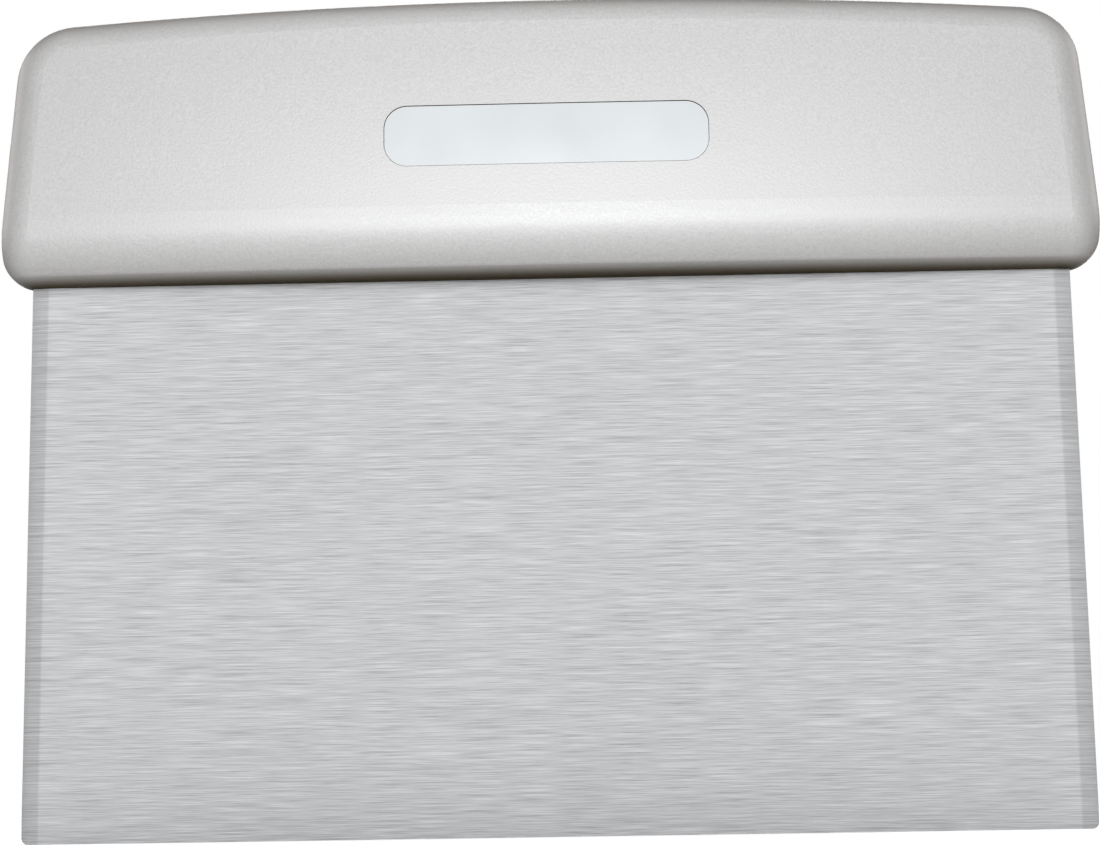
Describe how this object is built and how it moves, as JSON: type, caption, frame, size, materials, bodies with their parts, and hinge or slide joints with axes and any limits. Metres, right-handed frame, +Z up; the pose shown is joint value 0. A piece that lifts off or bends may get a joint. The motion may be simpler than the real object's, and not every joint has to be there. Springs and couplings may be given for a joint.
{
  "type": "bench scraper",
  "caption": "Bakery bench scraper: flat rectangular stainless blade with a full-width moulded plastic handle along its top edge.",
  "frame": {"origin": "middle of the scraping edge, at the middle of the blade's thickness, so that the bench is at z = 0 when the tool stands on its edge", "axes": "+Z up the blade from the scraping edge to the handle, +X along the scraping edge, -Y out of the front, which is the face with the label"},
  "size_m": [0.1612, 0.0176, 0.1225],
  "materials": {
    "brushed_steel": "straight brushed grain along the blade's width",
    "handle_plastic": "off-white polypropylene with a fine moulded grain",
    "label_plastic": "smooth, cool white, satin"
  },
  "bodies": {
    "root": {"blade": "brushed_steel", "handle": "handle_plastic", "blank_label": "label_plastic"}
  },
  "joints": []
}
